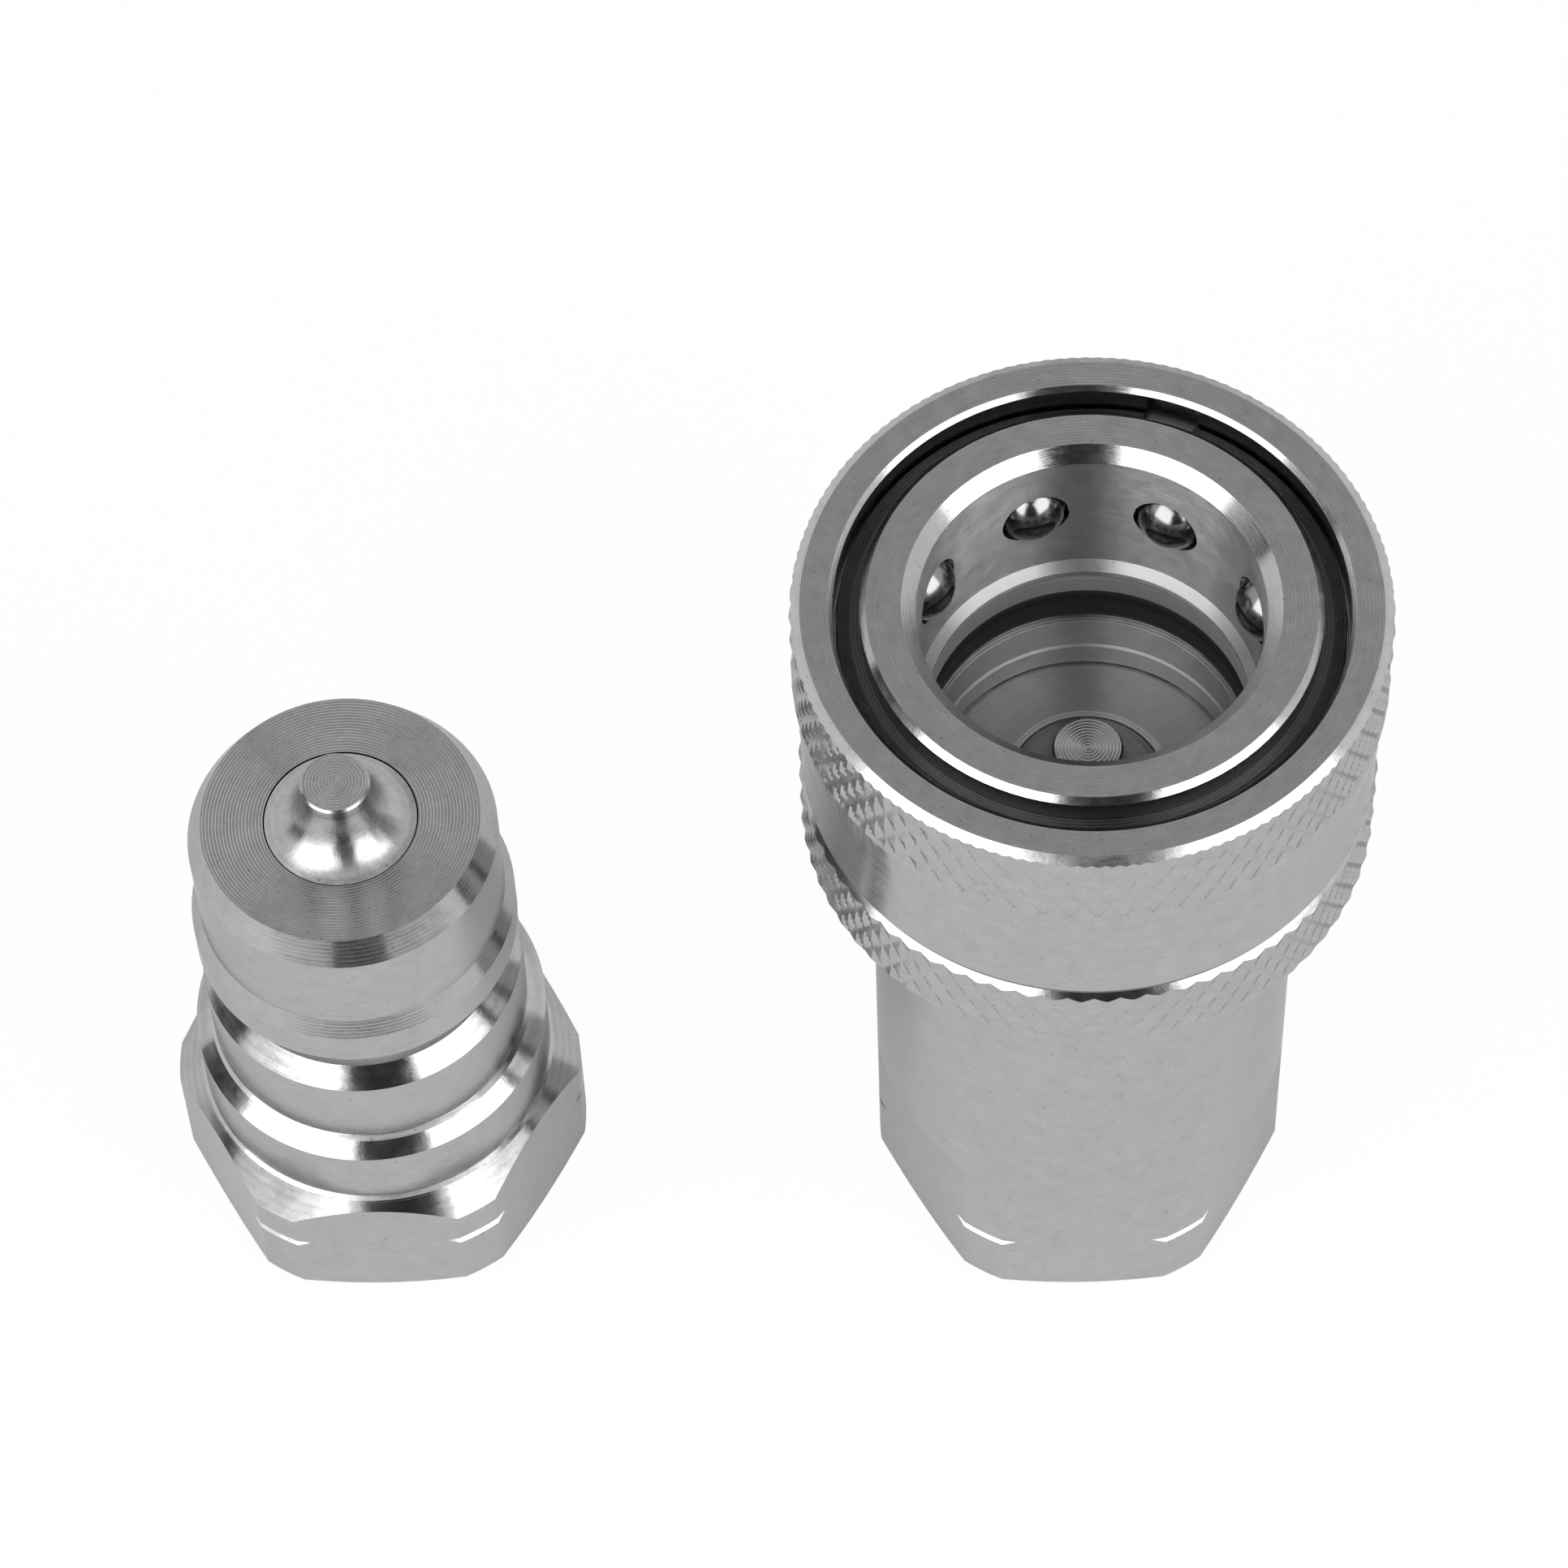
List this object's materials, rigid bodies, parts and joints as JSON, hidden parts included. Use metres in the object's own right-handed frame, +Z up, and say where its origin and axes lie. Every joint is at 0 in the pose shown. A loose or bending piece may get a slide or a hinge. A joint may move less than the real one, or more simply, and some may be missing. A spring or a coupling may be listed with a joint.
{
  "type": "hydraulic quick coupling",
  "caption": "Ball-lock hydraulic quick coupling: a plug half and a socket half with a knurled sliding sleeve, both with poppet valves and hexagon ends.",
  "frame": {"origin": "centre of the socket half's port mouth, on the plane both halves stand on", "axes": "+Z up along both halves' axes, out of the coupling ends; -X from the socket half towards the plug half"},
  "size_m": [0.0817, 0.0376, 0.0684],
  "materials": {
    "zinc_plate": "satin zinc plating over turned steel",
    "turned_steel": "bright turned steel",
    "ball_steel": "polished",
    "spring_steel": "drawn wire",
    "black_ring": "black phosphate",
    "seal_rubber": "matt",
    "backup_plastic": "matt"
  },
  "bodies": {
    "halves": {"socket_body": "zinc_plate", "sleeve_spring": "spring_steel", "spring_washer": "turned_steel", "washer_ring": "spring_steel", "sleeve_stop_ring": "black_ring", "nose_seal": "seal_rubber", "backup_ring": "backup_plastic", "socket_poppet_spring": "spring_steel", "socket_valve_guide": "turned_steel", "socket_guide_ring": "spring_steel", "plug_body": "zinc_plate", "plug_poppet_spring": "spring_steel", "plug_valve_guide": "turned_steel", "plug_guide_ring": "spring_steel"},
    "sleeve": {"locking_sleeve": "zinc_plate"},
    "socket_valve": {"socket_poppet": "turned_steel", "socket_poppet_seal": "seal_rubber"},
    "plug_valve": {"plug_poppet": "turned_steel", "plug_poppet_seal": "seal_rubber"},
    "ball_1": {"locking_ball_1": "ball_steel"},
    "ball_2": {"locking_ball_2": "ball_steel"},
    "ball_3": {"locking_ball_3": "ball_steel"},
    "ball_4": {"locking_ball_4": "ball_steel"},
    "ball_5": {"locking_ball_5": "ball_steel"},
    "ball_6": {"locking_ball_6": "ball_steel"},
    "ball_7": {"locking_ball_7": "ball_steel"},
    "ball_8": {"locking_ball_8": "ball_steel"}
  },
  "joints": [
    {"name": "sleeve_slide", "type": "slide", "parent": "halves", "child": "sleeve", "axis": [0, 0, 1], "range_m": [-0.005, 0], "stiffness_N_per_m": 3000, "springref_m": 0.002, "deforming": ["sleeve_spring"]},
    {"name": "socket_valve_slide", "type": "slide", "parent": "halves", "child": "socket_valve", "axis": [0, 0, 1], "range_m": [-0.005, 0], "stiffness_N_per_m": 1500, "springref_m": 0.002, "deforming": ["socket_poppet_spring"]},
    {"name": "plug_valve_slide", "type": "slide", "parent": "halves", "child": "plug_valve", "axis": [0, 0, 1], "range_m": [-0.005, 0], "stiffness_N_per_m": 1500, "springref_m": 0.002, "deforming": ["plug_poppet_spring"]},
    {"name": "ball_1_slide", "type": "slide", "parent": "halves", "child": "ball_1", "axis": [0.9659, 0.2588, 0], "range_m": [0, 0.00122]},
    {"name": "ball_2_slide", "type": "slide", "parent": "halves", "child": "ball_2", "axis": [0.5, 0.866, 0], "range_m": [0, 0.00122]},
    {"name": "ball_3_slide", "type": "slide", "parent": "halves", "child": "ball_3", "axis": [-0.2588, 0.9659, 0], "range_m": [0, 0.00122]},
    {"name": "ball_4_slide", "type": "slide", "parent": "halves", "child": "ball_4", "axis": [-0.866, 0.5, 0], "range_m": [0, 0.00122]},
    {"name": "ball_5_slide", "type": "slide", "parent": "halves", "child": "ball_5", "axis": [-0.9659, -0.2588, 0], "range_m": [0, 0.00122]},
    {"name": "ball_6_slide", "type": "slide", "parent": "halves", "child": "ball_6", "axis": [-0.5, -0.866, 0], "range_m": [0, 0.00122]},
    {"name": "ball_7_slide", "type": "slide", "parent": "halves", "child": "ball_7", "axis": [0.2588, -0.9659, 0], "range_m": [0, 0.00122]},
    {"name": "ball_8_slide", "type": "slide", "parent": "halves", "child": "ball_8", "axis": [0.866, -0.5, 0], "range_m": [0, 0.00122]}
  ],
  "couplings": [
    {"joint": "ball_1_slide", "follows": "sleeve_slide", "ratio": -0.244},
    {"joint": "ball_2_slide", "follows": "sleeve_slide", "ratio": -0.244},
    {"joint": "ball_3_slide", "follows": "sleeve_slide", "ratio": -0.244},
    {"joint": "ball_4_slide", "follows": "sleeve_slide", "ratio": -0.244},
    {"joint": "ball_5_slide", "follows": "sleeve_slide", "ratio": -0.244},
    {"joint": "ball_6_slide", "follows": "sleeve_slide", "ratio": -0.244},
    {"joint": "ball_7_slide", "follows": "sleeve_slide", "ratio": -0.244},
    {"joint": "ball_8_slide", "follows": "sleeve_slide", "ratio": -0.244}
  ]
}
